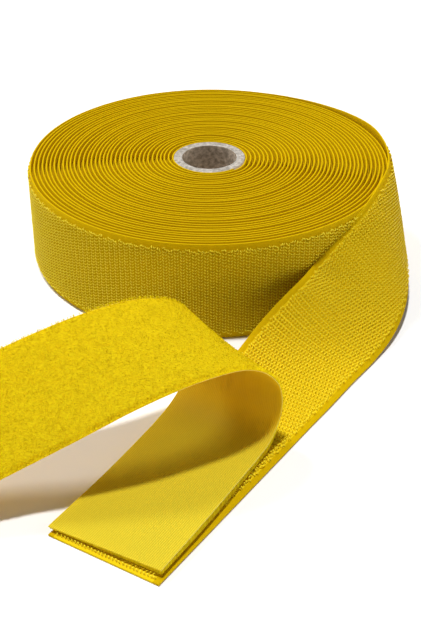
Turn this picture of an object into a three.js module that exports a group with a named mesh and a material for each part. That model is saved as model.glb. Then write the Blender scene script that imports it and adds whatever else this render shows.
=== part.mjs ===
// Hook and loop tape roll: a paper core wound with hook tape, the tape's free tail, and a strip
// of loop tape pressed onto that tail and folded back over itself.
// Millimetres, +Z up. The roll stands on its edge face and the tail lies on the same surface.

import * as THREE from 'three';

// Tape
const TAPE_WIDTH = 50;
const HOOK_GROUND = 0.8;
const HOOK_HEIGHT = 1.2;
const HOOK_SELVEDGE = 2.5;
const LOOP_GROUND = 0.5;
const LOOP_PILE = 1.2;
const PRESSED_PILE = 0.4;
const LOOP_SELVEDGE = 1.2;

// Paper core
const CORE_BORE = 28;
const PLY_THICKNESS = 1.4;
const PLY_COUNT = 3;
const CORE_FACETS = 48;

// Winding
const TURNS = 24;
const TURN_PITCH = 3.0;
const STEPS_PER_TURN = 22;

// Clearances
const LAYER_GAP = 0.2;
const SEAT_GAP = 0.35;
const ENGAGE_GAP = 0.3;
const SPLIT_GAP = 0.5;
const FLOOR_GAP = 0.3;

// Steps along and across the free strips
const TAIL_STEPS = 36;
const MATED_STEPS = 20;
const FREE_STEPS = 28;
const POINTS_ACROSS = 5;
const TANGENT_STEP = 0.002;

// Finishes
const PAPER = { color: 0xcbc5b6, roughness: 0.9, metalness: 0 };
const GROUND_YELLOW = { color: 0xd9ae12, roughness: 0.8, metalness: 0 };
const HOOK_YELLOW = { color: 0xbf9c12, roughness: 0.55, metalness: 0 };
const LOOP_BACK_YELLOW = { color: 0xdfb91a, roughness: 0.8, metalness: 0 };
const LOOP_YELLOW = { color: 0xe8c60c, roughness: 0.95, metalness: 0 };

// The tail is followed along its lower edge, from the roll to its cut end. Each station gives the
// edge's x and y from the point where the tape leaves the roll, in percent of the tail's reach, then
// the bearing and the rise of the line across the tape, in degrees, and how far the tape's middle is
// bowed to its hook side, in percent of its width.
const TAIL_REACH = 253;
const TAIL_STATIONS = [
  [0, 0, 172, 90, 0],
  [0.4, -3.2, 172, 88, 2],
  [1.5, -7.7, 170, 83.5, 4.4],
  [2.5, -13.2, 170, 77, 3.2],
  [2.5, -19, 169, 70.5, 1.6],
  [1.5, -24.5, 166.5, 63, 0.6],
  [0.1, -30, 162.5, 53, -0.6],
  [-1.9, -35.4, 158, 43, -2],
  [-4.4, -40.6, 154.5, 34, -4],
  [-7.3, -45.6, 152.5, 26.5, -5.6],
  [-13.4, -55.1, 149, 12.5, -3],
  [-18.2, -62.5, 147.2, 3.5, -0.8],
  [-22.1, -68.6, 146.3, 0, 0],
  [-43.1, -100, 148.3, 0, 0],
];

// The loop strip is followed along its near edge, from its cut end on the tail, up through the
// fold and along the free leg. Each station gives how far the edge is back along the tail and
// across it from the tail's corner and its height, in percent of the distance back to the fold,
// then the bearing and the rise of the line across the strip from the tail's own heading.
const FOLD_REACH = 95;
const LOOP_STATIONS = [
  [3.2, 1.1, 2.3, 94, -2.5],
  [34.7, 2.1, 2.6, 90, -2.9],
  [66.3, 4.2, 2.1, 90, -2.3],
  [79, 5.3, 1.9, 90, -1.8],
  [91, 6.1, 3.6, 89.5, -1.5],
  [99.5, 6.5, 12, 87, -4],
  [100, 7.7, 24.2, 80, -6],
  [93.2, 10.3, 34.4, 71, -3.5],
  [83.2, 14.4, 40.6, 64.5, 2],
  [70.5, 19.8, 43, 61, 9],
  [56.8, 27.4, 42.1, 60.3, 15],
  [39.5, 38.4, 37.7, 61, 20],
  [20.5, 53.7, 28.1, 62.5, 25],
  [-2.1, 72.6, 16.4, 63.5, 27],
  [-26.8, 89.5, 7.3, 64, 27.5],
  [-56.8, 108.4, -2.3, 63.5, 26.5],
];
const PEEL_STATION = 3;
const FULL_PILE_STATION = 5;
const FOLD_STATION = 6;

// Radii that follow from the sizes above
const PLY_PITCH = PLY_THICKNESS + LAYER_GAP;
const CORE_RADIUS = CORE_BORE / 2 + PLY_COUNT * PLY_PITCH - LAYER_GAP;
const WINDING_RADIUS = CORE_RADIUS + SEAT_GAP;
const LEAVE_RADIUS = WINDING_RADIUS + TURNS * TURN_PITCH;

// Layers of each tape, measured from the back of its ground towards its hooks or loops
const HOOK_BASE = HOOK_GROUND + LAYER_GAP;
const HOOK_TOP = HOOK_BASE + HOOK_HEIGHT;
const LOOP_BASE = LOOP_GROUND + LAYER_GAP;
const LOOP_REST = FLOOR_GAP + HOOK_TOP + ENGAGE_GAP + PRESSED_PILE + LOOP_BASE;

// Closed ribbon from rows of points: each row has the back and the front points across the tape
function ribbonGeometry(rows) {
  const across = rows[0].back.length;
  const positions = [];
  for (const row of rows) {
    for (const point of [...row.back, ...row.front]) {
      positions.push(point.x, point.y, point.z);
    }
  }
  const back = (i, k) => i * 2 * across + k;
  const front = (i, k) => back(i, k) + across;
  const faces = [];
  const quad = (a, b, c, d) => faces.push(a, b, d, b, c, d);
  const last = rows.length - 1;
  const far = across - 1;
  for (let i = 0; i < last; i += 1) {
    for (let k = 0; k < far; k += 1) {
      quad(front(i, k), front(i, k + 1), front(i + 1, k + 1), front(i + 1, k));
      quad(back(i, k), back(i + 1, k), back(i + 1, k + 1), back(i, k + 1));
    }
    quad(back(i, 0), front(i, 0), front(i + 1, 0), back(i + 1, 0));
    quad(front(i, far), back(i, far), back(i + 1, far), front(i + 1, far));
  }
  for (let k = 0; k < far; k += 1) {
    quad(back(0, k), back(0, k + 1), front(0, k + 1), front(0, k));
    quad(front(last, k), front(last, k + 1), back(last, k + 1), back(last, k));
  }
  const geometry = new THREE.BufferGeometry();
  geometry.setAttribute('position', new THREE.Float32BufferAttribute(positions, 3));
  geometry.setIndex(faces);
  geometry.computeVertexNormals();
  return geometry;
}

function namedMesh(name, geometry, finish) {
  const mesh = new THREE.Mesh(geometry, new THREE.MeshStandardMaterial(finish));
  mesh.name = name;
  return mesh;
}

// One wound ply of the paper core: a tube with a closed square section
function corePly(index) {
  const inner = CORE_BORE / 2 + index * PLY_PITCH;
  const outer = inner + PLY_THICKNESS;
  const profile = [
    new THREE.Vector2(inner, 0),
    new THREE.Vector2(outer, 0),
    new THREE.Vector2(outer, TAPE_WIDTH),
    new THREE.Vector2(inner, TAPE_WIDTH),
    new THREE.Vector2(inner, 0),
  ];
  const geometry = new THREE.LatheGeometry(profile, CORE_FACETS);
  geometry.rotateX(Math.PI / 2);
  return geometry;
}

// Rows of the wound tape: it winds outwards clockwise, seen from above, and ends on the +X axis
function windingRows(backOffset, frontOffset, low, high) {
  const steps = TURNS * STEPS_PER_TURN;
  const rows = [];
  for (let i = 0; i <= steps; i += 1) {
    const angle = ((steps - i) / STEPS_PER_TURN) * 2 * Math.PI;
    const radius = WINDING_RADIUS + (i / STEPS_PER_TURN) * TURN_PITCH;
    const at = (r, z) => new THREE.Vector3(r * Math.cos(angle), r * Math.sin(angle), z);
    rows.push({
      back: [at(radius + backOffset, low), at(radius + backOffset, high)],
      front: [at(radius + frontOffset, low), at(radius + frontOffset, high)],
    });
  }
  return rows;
}

// Least distance from the front of one turn to the back of the next, from points to chords
function leastTurnGap(rows) {
  const chord = new THREE.Line3();
  const nearest = new THREE.Vector3();
  let least = Infinity;
  for (let i = 0; i + STEPS_PER_TURN + 1 < rows.length; i += 1) {
    const point = rows[i].front[0];
    for (let j = i + STEPS_PER_TURN - 1; j <= i + STEPS_PER_TURN; j += 1) {
      chord.set(rows[j].back[0], rows[j + 1].back[0]);
      chord.closestPointToPoint(point, true, nearest);
      least = Math.min(least, nearest.distanceTo(point));
    }
  }
  return least;
}

// A strip held as two curves with the same stations: its edge, and how it leans and bows there
function stripCurves(edgePoints, leans) {
  return {
    edge: new THREE.CatmullRomCurve3(edgePoints),
    lean: new THREE.CatmullRomCurve3(leans, false, 'catmullrom'),
    last: edgePoints.length - 1,
  };
}

// Direction across the strip at a share t of its stations
function acrossAt(strip, t) {
  const lean = strip.lean.getPoint(t);
  const bearing = THREE.MathUtils.degToRad(lean.x);
  const rise = THREE.MathUtils.degToRad(lean.y);
  const flat = Math.cos(rise);
  return new THREE.Vector3(flat * Math.cos(bearing), flat * Math.sin(bearing), Math.sin(rise));
}

// Point on the back of the strip, a distance across it from its edge
function backPoint(strip, t, distance) {
  const across = acrossAt(strip, t);
  const share = distance / TAPE_WIDTH;
  const bow = 4 * (strip.lean.getPoint(t).z / 100) * TAPE_WIDTH * share * (1 - share);
  const face = across.clone().cross(strip.edge.getTangent(t)).normalize();
  return strip.edge.getPoint(t).addScaledVector(across, distance).addScaledVector(face, bow);
}

// The same point moved off the back by an offset, towards the hook or loop side
function layerPoint(strip, t, distance, offset) {
  const before = backPoint(strip, Math.max(0, t - TANGENT_STEP), distance);
  const after = backPoint(strip, Math.min(1, t + TANGENT_STEP), distance);
  const along = after.sub(before);
  const face = acrossAt(strip, t).cross(along).normalize();
  return backPoint(strip, t, distance).addScaledVector(face, offset);
}

// Distances across the tape where its face is sampled, from one selvedge to the other
function faceDistances(selvedge) {
  const face = TAPE_WIDTH - 2 * selvedge;
  return Array.from({ length: POINTS_ACROSS }, (_, k) => selvedge + (face * k) / (POINTS_ACROSS - 1));
}

// The same distances with the tape's two edges, so that the ground and its face share facets
function groundDistances(selvedge) {
  return [0, ...faceDistances(selvedge), TAPE_WIDTH];
}

// One layer of a strip between two shares of its stations; offsets are functions of the share
function stripRows(strip, from, to, steps, distances, backOffset, frontOffset) {
  const rows = [];
  for (let i = 0; i <= steps; i += 1) {
    const t = from + ((to - from) * i) / steps;
    rows.push({
      back: distances.map((distance) => layerPoint(strip, t, distance, backOffset(t))),
      front: distances.map((distance) => layerPoint(strip, t, distance, frontOffset(t))),
    });
  }
  return rows;
}

const always = (value) => () => value;

// Share of a strip's stations that lies a distance past one of them
function shareAt(strip, station, distance = 0) {
  const t = station / strip.last;
  const nearby = Math.min(1, t + TANGENT_STEP);
  const speed = strip.edge.getPoint(nearby).distanceTo(strip.edge.getPoint(t)) / (nearby - t);
  return t + distance / speed;
}

// Roll: core plies, the wound ground and the hooks along it
const roll = new THREE.Group();
const PLY_NAMES = ['core_inner_ply', 'core_middle_ply', 'core_outer_ply'];
for (let i = 0; i < PLY_COUNT; i += 1) {
  roll.add(namedMesh(PLY_NAMES[i] ?? `core_ply_${i + 1}`, corePly(i), PAPER));
}
const woundGround = windingRows(0, HOOK_GROUND, 0, TAPE_WIDTH);
const woundHooks = windingRows(HOOK_BASE, HOOK_TOP, HOOK_SELVEDGE, TAPE_WIDTH - HOOK_SELVEDGE);
roll.add(namedMesh('winding_ground', ribbonGeometry(woundGround), GROUND_YELLOW));
roll.add(namedMesh('winding_hooks', ribbonGeometry(woundHooks), HOOK_YELLOW));
console.log('least gap, wound ground to itself:', leastTurnGap(woundGround).toFixed(2), 'mm');
console.log('least gap, wound hooks to themselves:', leastTurnGap(woundHooks).toFixed(2), 'mm');

// Tail: the end of the same tape, lying off the roll, in a group at the point where it leaves
const tailShare = TAIL_REACH / 100;
const tailStrip = stripCurves(
  TAIL_STATIONS.map(([x, y]) => new THREE.Vector3(x * tailShare, y * tailShare, FLOOR_GAP)),
  TAIL_STATIONS.map(([, , bearing, rise, bow]) => new THREE.Vector3(bearing, rise, bow)),
);
const tail = new THREE.Group();
tail.position.set(LEAVE_RADIUS, 0, 0);
const tailStart = shareAt(tailStrip, 0, SPLIT_GAP);
const tailGround = stripRows(
  tailStrip, tailStart, 1, TAIL_STEPS, groundDistances(HOOK_SELVEDGE), always(0), always(HOOK_GROUND),
);
const tailHooks = stripRows(
  tailStrip, tailStart, 1, TAIL_STEPS, faceDistances(HOOK_SELVEDGE), always(HOOK_BASE), always(HOOK_TOP),
);
tail.add(namedMesh('tail_ground', ribbonGeometry(tailGround), GROUND_YELLOW));
tail.add(namedMesh('tail_hooks', ribbonGeometry(tailHooks), HOOK_YELLOW));

// Loop strip: in a group at the tail's cut corner, turned to run back along the tail
const loopStrip = stripCurves(
  LOOP_STATIONS.map((s) => new THREE.Vector3(s[0], s[1], s[2]).multiplyScalar(FOLD_REACH / 100)),
  LOOP_STATIONS.map(([, , , bearing, rise]) => new THREE.Vector3(bearing, rise, 0)),
);
const tailCorner = tailStrip.edge.getPoint(1);
const tailHeading = tailStrip.edge.getTangent(1).negate();
const loop = new THREE.Group();
loop.position.set(tailCorner.x, tailCorner.y, LOOP_REST);
loop.rotation.z = Math.atan2(tailHeading.y, tailHeading.x);
tail.add(loop);

// The pile is pressed flat on the hooks and stands up again past the peel line
function pileTop(t) {
  const peel = shareAt(loopStrip, PEEL_STATION);
  const full = shareAt(loopStrip, FULL_PILE_STATION);
  const raised = THREE.MathUtils.smoothstep(t, peel, full);
  return LOOP_BASE + THREE.MathUtils.lerp(PRESSED_PILE, LOOP_PILE, raised);
}

const mateEnd = shareAt(loopStrip, FOLD_STATION, -SPLIT_GAP / 2);
const freeStart = shareAt(loopStrip, FOLD_STATION, SPLIT_GAP / 2);
function addLeg(name, from, to, steps) {
  const web = groundDistances(LOOP_SELVEDGE);
  const face = faceDistances(LOOP_SELVEDGE);
  const ground = stripRows(loopStrip, from, to, steps, web, always(0), always(LOOP_GROUND));
  const pile = stripRows(loopStrip, from, to, steps, face, always(LOOP_BASE), pileTop);
  loop.add(namedMesh(`${name}_ground`, ribbonGeometry(ground), LOOP_BACK_YELLOW));
  loop.add(namedMesh(`${name}_pile`, ribbonGeometry(pile), LOOP_YELLOW));
}
addLeg('mated_leg', 0, mateEnd, MATED_STEPS);
addLeg('free_leg', freeStart, 1, FREE_STEPS);

// The whole part stands with the middle of its box's underside at the origin
const assembly = new THREE.Group();
assembly.add(roll, tail);
assembly.updateMatrixWorld(true);
const box = new THREE.Box3().setFromObject(assembly, true);
const middle = box.getCenter(new THREE.Vector3());
assembly.position.set(-middle.x, -middle.y, -box.min.z);

const part = new THREE.Group();
part.add(assembly);

export default part;
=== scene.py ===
"""A roll of yellow hook tape on a paper core, with a loop strip pressed on its tail and folded back."""

import math

import bpy
import numpy as np
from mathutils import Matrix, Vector


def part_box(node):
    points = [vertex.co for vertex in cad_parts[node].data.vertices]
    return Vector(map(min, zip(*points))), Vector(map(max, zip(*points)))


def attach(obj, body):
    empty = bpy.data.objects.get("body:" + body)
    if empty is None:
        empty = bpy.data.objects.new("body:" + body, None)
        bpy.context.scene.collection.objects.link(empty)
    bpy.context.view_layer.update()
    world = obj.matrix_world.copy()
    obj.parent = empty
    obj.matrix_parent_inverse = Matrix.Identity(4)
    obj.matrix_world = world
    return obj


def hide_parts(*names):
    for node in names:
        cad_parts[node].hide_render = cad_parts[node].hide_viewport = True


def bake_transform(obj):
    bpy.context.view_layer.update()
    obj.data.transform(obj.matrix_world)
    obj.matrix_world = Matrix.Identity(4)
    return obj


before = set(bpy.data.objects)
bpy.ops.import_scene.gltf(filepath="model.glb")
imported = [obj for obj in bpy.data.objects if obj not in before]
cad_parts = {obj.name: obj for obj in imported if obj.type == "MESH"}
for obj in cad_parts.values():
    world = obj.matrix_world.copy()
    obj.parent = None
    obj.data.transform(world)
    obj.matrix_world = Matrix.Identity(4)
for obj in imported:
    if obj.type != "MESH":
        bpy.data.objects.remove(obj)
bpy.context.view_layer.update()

# Paper core: a tube of three board plies, wound, glued face to face and sawn to the tape's width.
# The cut ends show grey pulp, a little furred, and the bore shows the bare board. The tape winds on it.
MM = 0.001
dice = np.random.default_rng(12)
core_low, core_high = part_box("core_outer_ply")
axis = np.array([(core_low.x + core_high.x) / 2, (core_low.y + core_high.y) / 2, 0])
tape_width = core_high.z
bore_radius = 14.0 * MM
ply = 1.39 * MM
glue_gap = 0.02 * MM
chamfer = 0.12 * MM
core_sides = 160
fur_spread = 0.03 * MM
fur_sink = 0.06 * MM


class Wire:
    """A shader socket. Arithmetic on it makes Math nodes, and node() makes any other node."""

    def __init__(self, tree, socket):
        self.tree = tree
        self.socket = socket

    def node(self, kind, settings, inputs, output=0):
        made = self.tree.nodes.new("ShaderNode" + kind)
        for name, value in settings.items():
            setattr(made, name, value)
        for key, value in inputs.items():
            if isinstance(value, Wire):
                self.tree.links.new(value.socket, made.inputs[key])
            else:
                made.inputs[key].default_value = value
        return Wire(self.tree, made.outputs[output])

    def math(self, operation, first, second=0.0):
        return self.node("Math", {"operation": operation}, {0: first, 1: second})

    def __add__(self, other):
        return self.math("ADD", self, other)

    def __radd__(self, other):
        return self.math("ADD", other, self)

    def __sub__(self, other):
        return self.math("SUBTRACT", self, other)

    def __rsub__(self, other):
        return self.math("SUBTRACT", other, self)

    def __mul__(self, other):
        return self.math("MULTIPLY", self, other)

    def __rmul__(self, other):
        return self.math("MULTIPLY", other, self)

    def __truediv__(self, other):
        return self.math("DIVIDE", self, other)

    def __rtruediv__(self, other):
        return self.math("DIVIDE", other, self)

    def __pow__(self, other):
        return self.math("POWER", self, other)

    def __rpow__(self, other):
        return self.math("POWER", other, self)


def surface(name, roughness, specular=0.5):
    """A new principled material: the material, its shader, and a first wire to build on."""
    made = bpy.data.materials.new(name)
    made.use_nodes = True
    shader = made.node_tree.nodes["Principled BSDF"]
    shader.inputs["Roughness"].default_value = roughness
    shader.inputs["Specular IOR Level"].default_value = specular
    return made, shader, Wire(made.node_tree, shader.outputs[0])


def feed(node, name, wire):
    """Link a wire to one of a node's inputs."""
    wire.tree.links.new(wire.socket, node.inputs[name])


def shade(wire, factor, low, high):
    """Colour from low to high, each a colour or a wire, as the factor goes from 0 to 1."""
    low, high = (end if isinstance(end, Wire) else (*end, 1) for end in (low, high))
    return wire.node("Mix", {"data_type": "RGBA"}, {0: factor, 6: low, 7: high}, output=2)


def noise(wire, vector, scale):
    return wire.node("TexNoise", {}, {"Vector": vector, "Scale": scale, "Detail": 3.0})


def bumpy(wire, height, strength, depth):
    return wire.node("Bump", {}, {"Strength": strength, "Distance": depth, "Height": height})


def split(wire, vector, part):
    """One part of a vector: 0, 1 or 2."""
    return wire.node("SeparateXYZ", {}, {0: vector}, output=part)


def piece(name, points, faces, material, smooth=True, **layers):
    """A mesh object from points and faces, with any float or vector layers on its points."""
    mesh = bpy.data.meshes.new(name)
    mesh.from_pydata(points.reshape(-1, 3).tolist(), [], faces)
    mesh.polygons.foreach_set("use_smooth", np.full(len(mesh.polygons), smooth))
    for key, values in layers.items():
        kind, entry = ("FLOAT", "value") if values.ndim == 1 else ("FLOAT_VECTOR", "vector")
        layer = mesh.attributes.new(key, kind, "POINT")
        layer.data.foreach_set(entry, values.astype(np.float32).ravel())
    mesh.update()
    made = bpy.data.objects.new(name, mesh)
    made.data.materials.append(material)
    bpy.context.scene.collection.objects.link(made)
    return made


paper, shader, wire = surface("core_paper", 0.92)
spot = wire.node("TexCoord", {}, {}, output=3)
facing_up = split(wire, wire.node("NewGeometry", {}, {}, output=1), 2)
end_face = wire.math("ABSOLUTE", facing_up) ** 3.0
speck = noise(wire, spot, 550.0) * 3.0 - 1.0
board = shade(wire, speck, (0.38, 0.31, 0.23), (0.80, 0.68, 0.55))
pulp = shade(wire, speck, (0.25, 0.23, 0.20), (0.50, 0.465, 0.42))
feed(shader, "Base Color", shade(wire, end_face, board, pulp))
feed(shader, "Normal", bumpy(wire, noise(wire, spot, 1500.0), 0.35, 0.2 * MM))

turn = np.linspace(0, 2 * math.pi, core_sides, endpoint=False)
for layer, node in enumerate(("core_inner_ply", "core_middle_ply", "core_outer_ply")):
    inner = bore_radius + layer * ply
    outer = inner + ply - glue_gap
    section = np.array(
        [
            (inner, chamfer),
            (inner + chamfer, 0),
            (outer - chamfer, 0),
            (outer, chamfer),
            (outer, tape_width - chamfer),
            (outer - chamfer, tape_width),
            (inner + chamfer, tape_width),
            (inner, tape_width - chamfer),
            (inner, tape_width - 4 * chamfer),
            (inner, 4 * chamfer),
        ]
    )
    size = len(section)
    rings = np.empty((core_sides, size, 3))
    rings[:, :, 0] = axis[0] + section[:, 0] * np.cos(turn)[:, None]
    rings[:, :, 1] = axis[1] + section[:, 0] * np.sin(turn)[:, None]
    rings[:, :, 2] = section[:, 1]
    rings[:, 5:7, 2] += dice.normal(0, fur_spread, (core_sides, 2)) - fur_sink
    grid = np.arange(core_sides * size).reshape(core_sides, size)
    beside = np.roll(grid, -1, axis=0)
    faces = np.stack([grid, beside, np.roll(beside, -1, axis=1), np.roll(grid, -1, axis=1)], -1)
    tube = piece(node + "_board", rings, faces.reshape(-1, 4).tolist(), paper)
    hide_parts(node)
    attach(tube, "roll")

# Wound hook tape: the woven nylon ground of one long tape, about 36 turns, wound hooks outwards.
# Its selvedges make the rings on both faces of the roll. The first turns step up over the tape's
# start on the core, and the later ones even out into a spiral.
ground = 0.85 * MM
round_off = 0.25 * MM
core_clearance = 0.1 * MM
core_radius = bore_radius + 3 * ply + core_clearance
first_angle = math.radians(-50)
last_angle = math.radians(75)
turns = 36 + (first_angle - last_angle) / (2 * math.pi)
last_radius = 91.3 * MM
pitch = (last_radius - core_radius) / turns
steps_per_turn = 144
radius_wander = 0.16 * MM
mean_height = 0.22 * MM
height_wander = 0.11 * MM
# How far the turns' centre moves from the core to the outermost turn.
drift = np.array([0.2, -1.6, 0]) * MM
# The share of a turn after which an early turn steps up, and the turn from which all rise evenly.
step_from = 0.88
even_after = 9


def thin(material, wire, tint, share):
    """Let a share of the light through a material, coloured by the tint."""
    glow = wire.node("BsdfTranslucent", {}, {"Color": (*tint, 1)})
    mixed = wire.node("MixShader", {}, {0: share, 1: wire, 2: glow})
    feed(material.node_tree.nodes["Material Output"], "Surface", mixed)


def unit(vectors):
    """The vectors, each made one long."""
    return vectors / np.linalg.norm(vectors, axis=-1, keepdims=True)


def ease(value):
    """From 0 to 1 as the value goes there, slow at both ends."""
    value = np.clip(value, 0, 1)
    return value * value * (3 - 2 * value)


class Strip:
    """A tape in space: its lower edge, the direction across, its bow and its upper edge's tuck."""

    tuck_from = 0.76

    def __init__(self, edge, across, bow=0.0, tuck=0.0):
        steps = np.linalg.norm(np.diff(edge, axis=0), axis=1)
        self.along = np.concatenate([[0], np.cumsum(steps)])
        self.length = self.along[-1]
        across = unit(across)
        face = unit(np.cross(across, np.gradient(edge, self.along, axis=0)))
        bow, tuck = (np.broadcast_to(value, len(edge)) for value in (bow, tuck))
        self.columns = np.column_stack([edge, across, face, bow, tuck]).T

    def back(self, along, over):
        """Points on the tape's back."""
        share = over / tape_width
        here = [np.interp(along, self.along, column) for column in self.columns]
        edge, across, face = (np.stack(here[first : first + 3], -1) for first in (0, 3, 6))
        bow = 4 * here[9] * share * (1 - share)
        tuck = here[10] * np.clip((share - self.tuck_from) / (1 - self.tuck_from), 0, 1) ** 2
        return edge + across * over[..., None] + face * (bow - tuck)[..., None]

    def at(self, along, over):
        """Points on the back with the unit directions along, across and out of the hook or loop side."""
        along, over = np.broadcast_arrays(np.asarray(along, float), np.asarray(over, float))
        step = 0.4 * MM
        ahead = self.back(np.minimum(along + step, self.length), over)
        behind = self.back(np.maximum(along - step, 0), over)
        heading = unit(ahead - behind)
        side = unit(self.back(along, over + step) - self.back(along, over - step))
        return self.back(along, over), heading, side, unit(np.cross(side, heading))


def ribbon(name, strip, along, section, material):
    """Closed ribbon: at each place along the strip, the section's points (distance over, lift)."""
    section = np.asarray(section)
    square_end = 0.05 * MM
    along = np.sort(np.concatenate([along, [along[0] + square_end, along[-1] - square_end]]))
    point, _, _, out = strip.at(along[:, None], section[None, :, 0])
    points = point + out * section[None, :, 1, None]
    rows, size = points.shape[:2]
    grid = np.arange(rows * size).reshape(rows, size)
    after = np.roll(grid, -1, axis=1)
    walls = np.stack([grid[:-1], after[:-1], after[1:], grid[1:]], -1).reshape(-1, 4)
    half = size // 2
    faces = walls.tolist()
    for row, order in ((grid[0], 1), (grid[-1], -1)):
        first, last = row[:half], row[: half - 1 : -1]
        cap = np.stack([first[:-1], last[:-1], last[1:], first[1:]], -1)
        faces += cap[:, ::order].tolist()
    strip_layer = np.stack(np.broadcast_arrays(along[:, None], section[None, :, 0], 0.0), -1)
    return piece(name, points, faces, material, strip=strip_layer.reshape(-1, 3))


def woven_section(columns):
    """Outline of the woven tape with its rounded selvedges: points of distance over and lift."""
    inner = np.linspace(round_off, tape_width - round_off, columns)
    over = np.concatenate([[0, 0.3 * round_off], inner, [tape_width - 0.3 * round_off, tape_width]])
    lift = ground * np.concatenate([[0.38, 0.12], np.zeros(columns), [0.12, 0.38]])
    return np.vstack([np.stack([over, lift], -1), np.stack([over, ground - lift], -1)[::-1]])


def woven_ground(name, painted_light):
    """The tape's ground weave, with painted shade in the hook field and a painted highlight on its
    rounded edges. Off the roll, painted light lightens the hook field by the share given.
    """
    painted_light_from = 110 * MM
    painted_light_to = 220 * MM
    field_share = 0.447
    edge_share = 0.496
    made, shader, wire = surface(name, 0.7, specular=0.02)
    laid = wire.node("Attribute", {"attribute_name": "strip"}, {}, output=1)
    off_middle = wire.math("ABSOLUTE", split(wire, laid, 1) / tape_width - 0.5)
    field = wire.math("LESS_THAN", off_middle, field_share)
    edge = wire.math("GREATER_THAN", off_middle, edge_share)
    # Painted shade darkens the hook field a little and a painted highlight lightens the rounded edges;
    # the noise is the yarn's own tone.
    tint = noise(wire, laid, 900.0) * 0.3 + 0.3 - field * 0.05 + edge * 0.2
    cloth = shade(wire, tint, (0.50, 0.31, 0.001), (0.82, 0.58, 0.002))
    # On the tail, from 110 to 220 mm along, painted light lightens the hook field, for light that falls
    # straight between the hooks where the tape lies flat.
    ramp = {0: split(wire, laid, 0), 1: painted_light_from, 2: painted_light_to, 3: 0.0, 4: painted_light}
    painted_light_share = field * wire.node("MapRange", {}, ramp)
    feed(shader, "Base Color", shade(wire, painted_light_share, cloth, (0.90, 0.67, 0.01)))
    picks = {"Vector": laid, "Scale": 900.0, "Distortion": 0.6}
    weave = wire.node("TexWave", {"bands_direction": "Y"}, picks)
    feed(shader, "Normal", bumpy(wire, weave, 0.4, 0.1 * MM))
    thin(made, wire, (1.0, 0.70, 0.002), 0.2)
    return made


count = np.linspace(0, turns, int(turns * steps_per_turn) + 1)
angle = first_angle - 2 * math.pi * count


def uneven(*waves):
    """A sum of waves along the winding: each a share, a rate by turn, a rate round it and a phase."""
    return sum(
        share * np.sin(by_turn * count + around * angle + phase)
        for share, by_turn, around, phase in waves
    )


part_turn = count - np.floor(count)
step_up = ease((part_turn - step_from) / (1 - step_from))
even = np.clip(count / even_after, 0, 1)
near_end = np.clip((turns - count) / 2, 0, 1)
calm = np.clip(count / 3, 0, 1) * near_end
radius = core_radius + pitch * (np.floor(count) + step_up * (1 - even) + part_turn * even)
radius += calm * radius_wander * uneven((1, 0.83, 2, 0.4), (0.8, 1.37, -1, 2.1), (0.6, 0.41, 3, 0))
height = mean_height + height_wander * uneven((1, 2.7, 1, 0), (1, 4.9, -2, 1.0)) * near_end
spiral = axis + drift * (count / turns)[:, None]
spiral += np.stack([radius * np.cos(angle), radius * np.sin(angle), height], -1)
winding = Strip(spiral, np.tile([0.0, 0.0, 1.0], (len(count), 1)))

wound = ribbon("wound_tape", winding, winding.along, woven_section(2), woven_ground("hook_ground", 0.0))
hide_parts("winding_ground")
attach(wound, "roll")

# Hooks on the roll: stiff nylon loops woven into the ground, heat-set and cut open on one side.
# Rows lean left and right in turn. Between the turns they are seen only as a nap in shade, so one band
# coloured with painted shade stands for them there, and each hook is made on the outermost turn.
selvedge = 3.2 * MM
hook_top = 1.85 * MM
hook_root = 0.72 * MM
column_step = 1.33 * MM
row_step = 1.55 * MM
first_row = 2.9 * MM
last_row = tape_width - 3.5 * MM
pair_shift = 0.08 * MM
edge_zone = 4.0 * MM
hook_lean = 0.85
edge_tangle = 0.9
strand_corners = (0.5, 2.6, 4.7)
# Measured back from the winding's end: where the nap stops, and where the single hooks begin and stop.
nap_stops = 560 * MM
hooks_begin = 574 * MM
hooks_stop = 1 * MM

# The nap's colour is painted shade: the hooks' nylon made dark, as they lie in shade between the turns.
painted_nap_shade, shader, wire = surface("wound_hooks_painted_shade", 0.8, specular=0.05)
shadow_noise = noise(wire, wire.node("TexCoord", {}, {}, output=3), 1100.0)
feed(shader, "Base Color", shade(wire, shadow_noise, (0.26, 0.15, 0.0005), (0.58, 0.37, 0.002)))

# The hooks' colour runs with their tone, which carries painted light: tops painted light, roots painted
# shade.
nylon, shader, wire = surface("hook_nylon", 0.4, specular=0.05)
tone = wire.node("Attribute", {"attribute_name": "tone"}, {}, output=2)
feed(shader, "Base Color", shade(wire, tone, (0.73, 0.49, 0.001), (1.0, 0.89, 0.05)))
thin(nylon, wire, (1.0, 0.86, 0.02), 0.1)


def strands(rings):
    """Points and quads of many three-sided strands, from the rings' corners in order along them."""
    points = np.stack(rings, 1)
    size = len(rings)
    one = [
        (ring + side, ring + (side + 1) % 3, ring + 3 + (side + 1) % 3, ring + 3 + side)
        for ring in range(0, size - 3, 3)
        for side in range(3)
    ]
    base = (np.arange(len(points)) * size)[:, None, None]
    return points, (base + np.array(one)).reshape(-1, 4).tolist()


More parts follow.
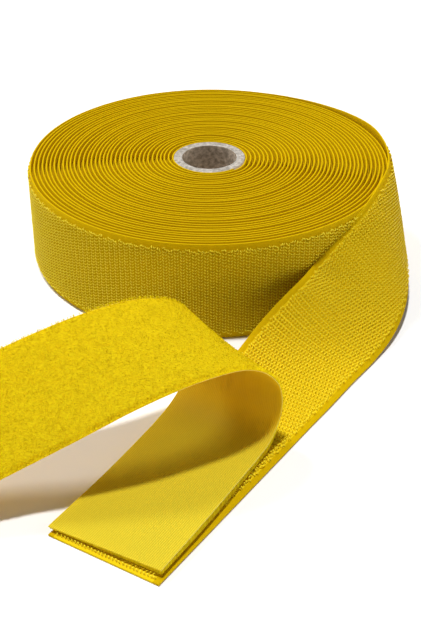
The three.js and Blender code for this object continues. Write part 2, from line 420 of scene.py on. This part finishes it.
def hooks(name, strip, along, over, lean, scale, tone, foot):
    """Cut hooks that rise from the ground, curl over and point down again. Their tone paints light on
    the tops and shade at the roots; foot paints light on the roots as well.
    """
    profile = np.array([(-0.40, 0.0), (-0.50, 0.55), (-0.30, 1.0), (0.34, 1.0), (0.54, 0.60)]) * MM
    thickness = np.array([0.18, 0.20, 0.26, 0.27, 0.20]) * MM
    # Painted light along each hook: shade at the root, light over the top.
    painted_top_light = np.repeat([0.0, 0.2, 0.9, 1.0, 0.4], 3)
    point, heading, side, out = strip.at(along, over)
    curl = heading * np.cos(lean)[:, None] + side * np.sin(lean)[:, None]
    flank = np.cross(out, curl)
    slope = unit(np.gradient(profile, axis=0))
    rings = []
    for (x, y), (dx, dy), radius in zip(profile, slope, thickness):
        middle = point + curl * (x * scale)[:, None] + out * (hook_root + y * scale)[:, None]
        for corner in strand_corners:
            spoke = flank * math.cos(corner) + (out * dx - curl * dy) * math.sin(corner)
            rings.append(middle + spoke * radius)
    points, faces = strands(rings)
    size = len(rings)
    tips = (np.arange(len(points)) * size)[:, None] + np.arange(size - 3, size)
    light = tone[:, None] * (foot[:, None] + (1 - foot[:, None]) * painted_top_light)
    return piece(name, points, faces + tips.tolist(), nylon, smooth=False, tone=light.ravel())


def hook_rows(begin, end, painted_brightness, painted_foot_light):
    """Where the hooks stand, how they lean and their tones. The tones carry painted light: the
    brightness given, brighter edge rows for painted glints, and painted light on the feet where the tape
    lies flat.
    """
    flat_from = 225 * MM
    flat_run = 60 * MM
    along, over = np.meshgrid(
        np.arange(begin, end, column_step), np.arange(first_row, last_row, row_step), indexing="ij"
    )
    column = np.arange(len(along))[:, None]
    odd = column % 2 * np.ones_like(over)
    later_pair = column % 4 // 2
    along = along + pair_shift * (1 - 2 * odd)
    over = over + row_step * (0.5 * later_pair + 0.1 * odd)
    edge_row = np.minimum(over, tape_width - over) < edge_zone
    lean = np.where(odd > 0, hook_lean, math.pi - hook_lean) + dice.normal(0, 0.1, along.shape)
    lean = np.where(edge_row, lean + dice.normal(0, edge_tangle, along.shape), lean)
    scale = np.where(edge_row, 1.15, 1.05) * dice.normal(1, 0.04, along.shape)
    # Painted light: the brightness sets how light the tops are painted, and the edge rows are painted
    # brighter as glints.
    tone = painted_brightness * np.where(edge_row, 0.8, 0.7) + 0.2 * dice.random(along.shape)
    along = along + dice.normal(0, 0.06 * MM, along.shape)
    over = over + np.where(edge_row, 0.2, 0.06) * MM * dice.normal(0, 1, along.shape)
    # Painted light on the feet where the tail lies flat.
    foot = painted_foot_light * np.clip((along - flat_from) / flat_run, 0, 1)
    return [values.ravel() for values in (along, over, lean, scale, tone, foot)]


def hook_pieces(name, strip, rows):
    """The hooks on a strip as three pieces, none too large to export."""
    made = []
    for third in zip(*(np.array_split(values, 3) for values in rows)):
        made.append(hooks(f"{name}_{len(made) + 1}", strip, *third))
    return made


inner_turns = winding.along[winding.along < winding.length - nap_stops]
nap_section = [
    (selvedge, ground),
    (tape_width - selvedge, ground),
    (tape_width - selvedge, hook_top),
    (selvedge, hook_top),
]
wound_hooks_painted_shade = ribbon("wound_hook_rows", winding, inner_turns, nap_section, painted_nap_shade)
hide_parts("winding_hooks")
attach(wound_hooks_painted_shade, "roll")

outer_turn = hook_rows(
    winding.length - hooks_begin, winding.length - hooks_stop, painted_brightness=1.15, painted_foot_light=0.0
)
for made in hook_pieces("outer_hooks", winding, outer_turn):
    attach(made, "roll")

# Tail: the outer end of the same woven tape. It stands a little loose round the back right of the
# roll, leaves it at the right a few millimetres off the table, twists down flat with its hooks up,
# and is cut square.
curve_samples = 40
tail_rows = 260
tail_columns = 26


def spline(stations):
    """Rows on a centripetal curve through the stations, 1 mm apart along the edge."""
    ends = np.vstack([2 * stations[0] - stations[1], stations, 2 * stations[-1] - stations[-2]])
    u = np.linspace(0, 1, curve_samples, endpoint=False)[:, None]
    rows = []
    for before, here, there, beyond in zip(ends, ends[1:], ends[2:], ends[3:]):
        spans = ((before, here), (here, there), (there, beyond))
        gap_in, gap, gap_out = (np.linalg.norm((b - a)[:3]) ** 0.5 for a, b in spans)
        run_in, run, run_out = (here - before) / gap_in, (there - here) / gap, (beyond - there) / gap_out
        leaving = (run_in - (there - before) / (gap_in + gap) + run) * gap
        arriving = (run - (beyond - here) / (gap + gap_out) + run_out) * gap
        rows.append(
            (2 * u**3 - 3 * u**2 + 1) * here
            + (u**3 - 2 * u**2 + u) * leaving
            + (3 * u**2 - 2 * u**3) * there
            + (u**3 - u**2) * arriving
        )
    rows = np.vstack(rows + [stations[-1:]])
    steps = np.linalg.norm(np.diff(rows[:, :3], axis=0), axis=1)
    along = np.concatenate([[0], np.cumsum(steps)])
    even = np.linspace(0, along[-1], int(along[-1]) + 1)
    return np.stack([np.interp(even, along, column) for column in rows.T], -1)


def leaning(rows):
    """Directions across a strip from its rows' bearing and rise, in degrees."""
    bearing, rise = np.radians(rows[:, 3]), np.radians(rows[:, 4])
    flat = np.cos(rise)
    return np.stack([flat * np.cos(bearing), flat * np.sin(bearing), np.sin(rise)], -1)


# A station is the lower edge's place from the roll's axis in millimetres, the bearing and rise of the
# direction across in degrees, the bow and the tuck.
tail_stations = [(*(spiral[-1] - axis) / MM, 255, 90, 0, 0)]
for bearing, reach, lift, tuck in (
    (66, 90, 0.3, 0),
    (57, 90.2, 0.6, 0),
    (48, 90.4, 1, -0.3),
    (34.5, 90.8, 2, -0.5),
    (21, 91.3, 3, -0.5),
):
    turned = math.radians(bearing)
    foot = (reach * math.cos(turned), reach * math.sin(turned), lift)
    tail_stations.append((*foot, bearing + 180, 90, 0, tuck))
tail_stations += [
    (93, 13.5, 3.5, 186, 86.5, 0, 0),
    (99.5, -6.5, 4.5, 178, 79.5, 0.5, 0.3),
    (99.5, -27, 5.5, 168, 75.5, 0.8, 0.3),
    (97, -58, 6, 171, 61.5, 0.5, 0),
    (92, -79, 4.5, 167.5, 46, 0.5, 0),
    (85, -96, 2.5, 157, 36, 0, 0),
    (75.5, -112, 0.7, 150, 34.5, -2.5, 0),
    (63.7, -129.5, 0.5, 150.5, 20, -3.3, 0),
    (52, -147.5, 0.4, 148, 9, -2, 0),
    (42, -162.3, 0.3, 147, 0.5, -0.3, 0),
    (30, -180.5, 0.3, 147, 0, 0, 0),
    (-18, -253, 0.3, 148.3, 0, 0, 0),
]
rows = spline(np.array(tail_stations))
tail = Strip(axis + rows[:, :3] * MM, leaning(rows), rows[:, 5] * MM, rows[:, 6] * MM)

tail_along = np.linspace(0, tail.length, tail_rows)
# The tail's ground gets painted light in its hook field.
tail_web = woven_ground("tail_ground", 0.9)
tail_tape = ribbon("tail_tape", tail, tail_along, woven_section(tail_columns), tail_web)
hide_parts("tail_ground")
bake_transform(tail_tape)

whole_tail = hook_rows(0.4 * MM, tail.length - 0.8 * MM, painted_brightness=0.6, painted_foot_light=0.9)
tail_hooks = hook_pieces("tail_hooks", tail, whole_tail)
for made in tail_hooks:
    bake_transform(made)
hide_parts("tail_hooks")

# Loop strip's back: 300 mm of the mating tape, woven nylon with fine ribs along it, its cut edges
# painted pale for the light that passes along the weave to them.
# One end is pressed onto the tail's hooks; the rest folds back over it and comes down to the table.
cut_corner = axis + np.array([-18, -253, 0]) * MM
tail_bearing = math.atan2(79.5, 53)
loop_rest = 3.9 * MM
loop_rows = 150
rim_share = 0.4985
rib = 0.85 * MM
rib_depth = 0.12 * MM
loop_ground = 0.5 * MM
edge_round = 0.15 * MM
border = 0.25 * MM
rib_points = 281

# A station is along and across the tail from its cut end's corner, in millimetres, its height above
# loop_rest, and the bearing and rise of the direction across in degrees.
loop_stations = np.array(
    [
        (3, 1, 1.2, 94, -1.4),
        (33, 2, 2.0, 90, -2.4),
        (63, 4, 2.0, 90, -2.3),
        (75, 5, 1.8, 90, -1.8),
        (86.5, 5.8, 3.4, 89.5, -1.5),
        (94.5, 6.2, 11.4, 87, -4),
        (95, 7.3, 23, 80, -6),
        (88.5, 9.8, 32.7, 71, -3.5),
        (79, 13.7, 38.6, 64.5, 2),
        (67, 18.8, 40.8, 61, 9),
        (54, 26, 40, 60.3, 15),
        (37.5, 36.5, 35.8, 61, 20),
        (19.5, 51, 26.7, 62.5, 25),
        (-2, 69, 15.6, 63.5, 27),
        (-25.5, 85, 6.9, 64, 27.5),
        (-54, 103, -2.2, 63.5, 26.5),
    ]
)
rows = spline(loop_stations)
rows[:, 2] += loop_rest / MM
cos, sin = math.cos(tail_bearing), math.sin(tail_bearing)
spin = np.array([[cos, sin, 0], [-sin, cos, 0], [0, 0, 1]])
loop = Strip(cut_corner + rows[:, :3] @ spin * MM, leaning(rows) @ spin)

backing, shader, wire = surface("loop_back", 0.5, specular=0.1)
laid = wire.node("Attribute", {"attribute_name": "strip"}, {}, output=1)
laid_over = split(wire, laid, 1)
# The colour follows the ribs: painted shade in the grooves and painted light on the crests, over the
# yarn's own random tone.
groove_shade = wire.math("ABSOLUTE", wire.math("SINE", laid_over * (math.pi / rib)))
yarn_tone_and_groove_shade = noise(wire, laid, 1200.0) * 0.35 + groove_shade * 0.65
woven = shade(wire, yarn_tone_and_groove_shade, (0.53, 0.40, 0.006), (0.95, 0.87, 0.06))
# Painted light: the cut edges are painted pale for the light that passes along the weave, and let less
# light through themselves.
painted_rim_glow = wire.math("GREATER_THAN", wire.math("ABSOLUTE", laid_over / tape_width - 0.5), rim_share)
feed(shader, "Base Color", shade(wire, painted_rim_glow, woven, (1.0, 0.93, 0.25)))
lift_off = {0: split(wire, laid, 0), 1: 70 * MM, 2: 105 * MM, 3: 0.42, 4: 0.75}
clear = wire.node("MapRange", {}, lift_off)
thin(backing, wire, (1.0, 0.80, 0.001), clear * (1.0 - painted_rim_glow * 0.5))

inner_points = np.linspace(round_off, tape_width - round_off, rib_points)
over_points = np.concatenate([[0], inner_points, [tape_width]])
inside = (over_points > border) & (over_points < tape_width - border)
ribs = np.where(inside, rib_depth * np.abs(np.sin(math.pi * over_points / rib)), 0.0)
edge_lift = np.where((over_points == 0) | (over_points == tape_width), edge_round, 0.0)
loop_section = np.vstack(
    [
        np.stack([over_points, rib_depth - ribs + edge_lift], -1),
        np.stack([over_points, loop_ground - edge_lift], -1)[::-1],
    ]
)
loop_along = np.linspace(0, loop.length, loop_rows)
loop_tape = ribbon("loop_tape", loop, loop_along, loop_section, backing)
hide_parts("mated_leg_ground", "free_leg_ground")
fold_reach = 8.3 * MM
apart = unit(np.array([-0.098, 0.271, 1.0]) @ spin)
hinge = cut_corner + np.array([95, 32, 26.7]) @ spin * MM
fold = (hinge - apart * fold_reach, hinge + apart * fold_reach)
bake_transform(loop_tape)

# Loop strip's pile: fine nylon loops worked into the back and brushed up, a thick mat with single
# loops standing out of it. Where the strip is pressed on, the hooks hold the pile and draw it out.
hook_tips = 2.35 * MM
least_drawn = 0.35 * MM
most_drawn = 4.5 * MM
free_height = 1.2 * MM
peel_from = 78 * MM
peel_run = 20 * MM
seat = 0.01 * MM
mat_rows = 560
mat_columns = 130
mat_end = 0.5 * MM
mat_share = 0.8
mat_rough = 0.04 * MM
edge_slope = 2.0 * MM
painted_shade_side_to = 85 * MM
loops_each = 9000
loops_from = 95 * MM
loops_inset = 0.6 * MM
edge_loops = 0.03
loop_strand = 0.08 * MM

fleece, shader, wire = surface("loop_pile", 0.9, specular=0.08)
tone = wire.node("Attribute", {"attribute_name": "tone"}, {}, output=2)
feed(shader, "Base Color", shade(wire, tone, (0.37, 0.22, 0.001), (1.0, 0.94, 0.012)))
thin(fleece, wire, (1.0, 0.86, 0.001), 0.5)


def pile_height(along, point):
    """Drawn out to the hook tips where the strip is pressed on, free and upright past the peel line."""
    drawn = np.clip(point[..., 2] - loop_ground - hook_tips, least_drawn, most_drawn)
    rise = ease((along - peel_from) / peel_run)
    return drawn * (1 - rise) + free_height * rise


mat_along = np.linspace(mat_end, loop.length - mat_end, mat_rows)
mat_over = np.linspace(border, tape_width - border, mat_columns)
point, _, _, out = loop.at(mat_along[:, None], mat_over[None, :])
from_edge = np.minimum(mat_over - border, tape_width - border - mat_over)
edge_fade = np.minimum(1, from_edge / edge_slope)
rough = dice.normal(0, mat_rough, (mat_rows, mat_columns)) * edge_fade
pressed = 1 - np.clip((mat_along - peel_from) / peel_run, 0, 1)[:, None]
full = np.maximum(edge_fade, pressed)
share = mat_share + (1 - mat_share) * pressed
pile = (share * pile_height(mat_along[:, None], point) + rough) * full
top = (point + out * (loop_ground + 2 * seat + pile)[..., None]).reshape(-1, 3)
bottom = (point + out * (loop_ground + seat)).reshape(-1, 3)
size = mat_rows * mat_columns
grid = np.arange(size).reshape(mat_rows, mat_columns)
upper = np.stack([grid[:-1, :-1], grid[:-1, 1:], grid[1:, 1:], grid[1:, :-1]], -1).reshape(-1, 4)
outline = np.concatenate([grid[0, :-1], grid[:-1, -1], grid[-1, :0:-1], grid[:0:-1, 0]])
around = np.arange(len(outline)) + size
after = np.roll(around, -1)
skirt = np.stack([around, around + len(outline), after + len(outline), after], -1)
mat_tone = 0.4 + 0.5 * dice.random(size)
# Painted shade on the mat's sides where the strip lies pressed on the hooks, and painted light, a pale
# fringe, on the sides along the free leg.
on_hooks = mat_along[outline // mat_columns] < painted_shade_side_to
side_tone = np.where(on_hooks, 0.3, 0.8) + np.where(on_hooks, 0.6, 0.2) * dice.random(len(outline))
pile_mat = piece(
    "loop_pile_mat",
    np.concatenate([top, top[outline], bottom[outline]]),
    np.concatenate([upper, skirt]).tolist(),
    fleece,
    tone=np.concatenate([mat_tone, side_tone, side_tone]),
)
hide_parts("mated_leg_pile", "free_leg_pile")
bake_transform(pile_mat)

for name in ("loop_pile_a", "loop_pile_b", "loop_pile_c", "loop_pile_d"):
    along = dice.uniform(loops_from, loop.length - loops_inset, loops_each)
    margin = border + loops_inset
    over = margin + (tape_width - 2 * margin) * dice.random(loops_each)
    at_edge = dice.random(loops_each) < edge_loops
    over = np.where(at_edge, np.where(over > tape_width / 2, tape_width - border, border), over)
    point, heading, side, out = loop.at(along, over)
    way = dice.uniform(0, 2 * math.pi, loops_each)
    stride = heading * np.cos(way)[:, None] + side * np.sin(way)[:, None]
    flank = np.cross(out, stride)
    tall = pile_height(along, point) * dice.uniform(0.8, 1.15, loops_each)
    wide = dice.uniform(0.25, 0.7, loops_each) * MM
    outward = np.sign(over - tape_width / 2) * dice.uniform(0, 0.2, loops_each)
    splay = np.where(at_edge, outward, 0) * MM
    tilt = side * splay[:, None] + flank * dice.normal(0, 0.2 * MM, loops_each)[:, None]
    rings = []
    for x, y in ((-0.5, 0.3), (-0.28, 0.95), (0.28, 0.95), (0.5, 0.3)):
        lift = loop_ground + y * tall
        middle = point + stride * (x * wide)[:, None] + out * lift[:, None] + tilt * y
        for corner in strand_corners:
            rings.append(middle + (flank * math.cos(corner) + out * math.sin(corner)) * loop_strand)
    points, faces = strands(rings)
    # Loops on the edges are painted fully light as a lit fringe; the others vary at random in tone.
    tone = np.repeat(np.where(at_edge, 1.0, 0.1 + 1.2 * dice.random(loops_each)), len(rings))
    made = piece(name, points, faces, fleece, smooth=False, tone=tone)
    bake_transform(made)

# Table: a plain white sheet that everything rests on, matt and a little cool.
# It is only the stage, lit evenly enough to read as white.
table_side = 8
bpy.ops.mesh.primitive_plane_add(size=table_side, location=(0, 0, 0))
table = bpy.context.object
table.name = "table"
sheet_white, shader, _ = surface("table_white", 0.9, specular=0.1)
shader.inputs["Base Color"].default_value = (0.90, 0.90, 0.905, 1)
table.data.materials.append(sheet_white)

# Light: one lamp almost overhead and a softer one from the back left.
# Pale walls to the right and left of a darker room fill the shadows, and the camera sees white.
for name, travel, energy, spread in (
    ("overhead lamp", (0.10, 0.0, -1), 2.8, 5.0),
    ("back left lamp", (0.56, -0.54, -1), 1.3, 12.0),
):
    lamp = bpy.data.objects.new(name, bpy.data.lights.new(name, "SUN"))
    lamp.data.energy = energy
    lamp.data.angle = math.radians(spread)
    lamp.rotation_euler = Vector(travel).to_track_quat("-Z", "Y").to_euler()
    bpy.context.scene.collection.objects.link(lamp)

world = bpy.data.worlds.new("room")
world.use_nodes = True
bpy.context.scene.world = world
dim = world.node_tree.nodes["Background"]
dim.inputs["Color"].default_value = (0.96, 0.96, 1, 1)
dim.inputs["Strength"].default_value = 0.06
wire = Wire(world.node_tree, dim.outputs[0])
walls = wire.node("Background", {}, {"Color": (1, 0.98, 0.93, 1), "Strength": 1.8})
sideways = split(wire, wire.node("TexCoord", {}, {}, output=0), 0)
right = wire.math("MAXIMUM", sideways, 0.0)
left = wire.math("MAXIMUM", 0.0 - sideways, 0.0)
room = wire.node("MixShader", {}, {0: 0.85 * right**4.0 + 0.65 * left**4.0, 1: wire, 2: walls})
white = wire.node("Background", {}, {"Color": (1, 1, 1, 1), "Strength": 1.1})
seen = wire.node("LightPath", {}, {}, output=0)
backdrop = wire.node("MixShader", {}, {0: seen, 1: room, 2: white})
feed(world.node_tree.nodes["World Output"], "Surface", backdrop)

# Camera: above the table in front of the roll, looking down at it, as in the photo.
# Its place, tilt and lens were fitted to the rims of the roll and the core.
eye_place = axis + np.array([1.1, -564.2, 313.7]) * MM
look_down = 32.55
eye_roll = 0.002
eye = bpy.data.objects.new("camera", bpy.data.cameras.new("camera"))
eye.data.lens = 68.8
eye.data.sensor_width = 36
eye.location = eye_place
eye.rotation_euler = (math.radians(90 - look_down), eye_roll, 0)
bpy.context.scene.collection.objects.link(eye)
bpy.context.scene.camera = eye
bpy.context.scene.view_settings.view_transform = "Standard"
